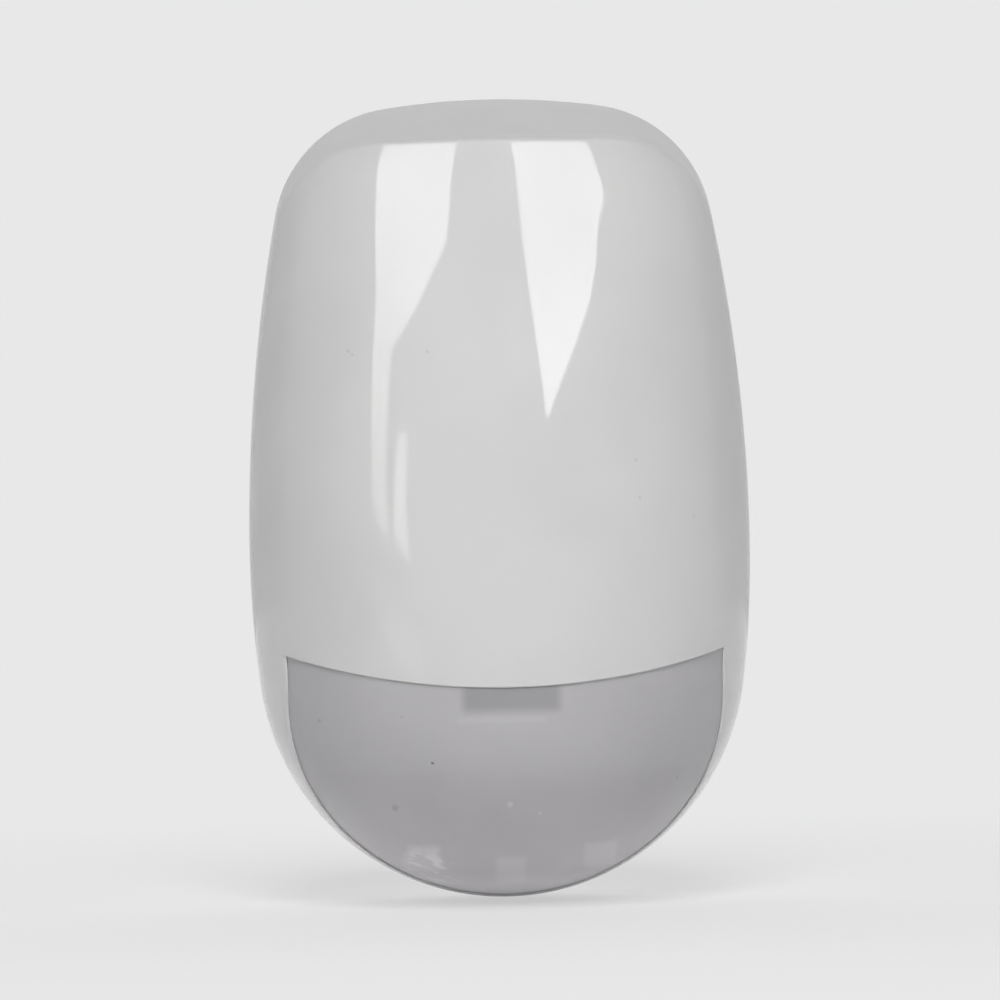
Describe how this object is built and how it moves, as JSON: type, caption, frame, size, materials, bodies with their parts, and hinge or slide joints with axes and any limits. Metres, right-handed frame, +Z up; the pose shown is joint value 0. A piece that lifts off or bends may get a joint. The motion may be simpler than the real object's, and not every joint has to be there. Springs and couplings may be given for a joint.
{
  "type": "pir motion sensor",
  "caption": "Wall-mounted egg-shaped passive infrared motion sensor: glossy cover, milky curved lens below, board, battery and wall case inside.",
  "frame": {"origin": "centre of the rear face that lies on the wall, midway between the two wall screw holes", "axes": "+Z up the wall, +X to the right as seen from the room, +Y into the wall, so the lens looks along -Y"},
  "size_m": [0.0654, 0.048, 0.1043],
  "materials": {
    "cover_gloss": "polished moulding",
    "lens_milky": "translucent moulding",
    "case_matt": "fine spark texture",
    "frame_white": "plain moulding",
    "dark_plastic": "plain moulding",
    "clear_guide": "clear moulding",
    "board_green": "solder mask",
    "steel": "plated steel",
    "nickel": "nickel plate",
    "copper_coil": "lacquered wire",
    "black_rubber": "moulded rubber",
    "chip_black": "moulded package",
    "led_white": "moulded package",
    "filter_glass": "coated silicon",
    "gold_header": "gilt",
    "cell_wrap": "printed film",
    "ceramic": "glazed chip",
    "aluminium_can": "drawn can",
    "switch_black": "moulded body",
    "button_grey": "moulded cap"
  },
  "bodies": {
    "sensor": {"front_cover": "cover_gloss", "lens": "lens_milky", "lens_retainer": "frame_white", "led_shroud": "dark_plastic", "rear_case": "case_matt", "main_board": "board_green", "board_screws": "steel", "sensor_base": "gold_header", "sensor_can": "steel", "sensor_window": "filter_glass", "sensor_sleeve": "black_rubber", "indicator_led": "led_white", "light_guide": "clear_guide", "battery_cradle": "frame_white", "battery_cell": "cell_wrap", "positive_contact": "nickel", "negative_contact": "nickel", "negative_spring": "nickel", "tamper_switch": "switch_black", "learn_switch": "switch_black", "radio_module": "board_green", "radio_shield": "steel", "antenna_coil": "copper_coil", "processor": "chip_black", "processor_pins": "steel", "crystal": "aluminium_can", "capacitor": "aluminium_can", "chip_resistors": "ceramic"},
    "tamper": {"tamper_plunger": "button_grey"},
    "learn": {"learn_button": "button_grey"}
  },
  "joints": [
    {"name": "tamper_slide", "type": "slide", "parent": "sensor", "child": "tamper", "axis": [0, 1, 0], "range_m": [0, 0.0008], "stiffness_N_per_m": 400, "springref_m": 0.0008},
    {"name": "learn_slide", "type": "slide", "parent": "sensor", "child": "learn", "axis": [0, 1, 0], "range_m": [0, 0.0003], "stiffness_N_per_m": 4000}
  ]
}
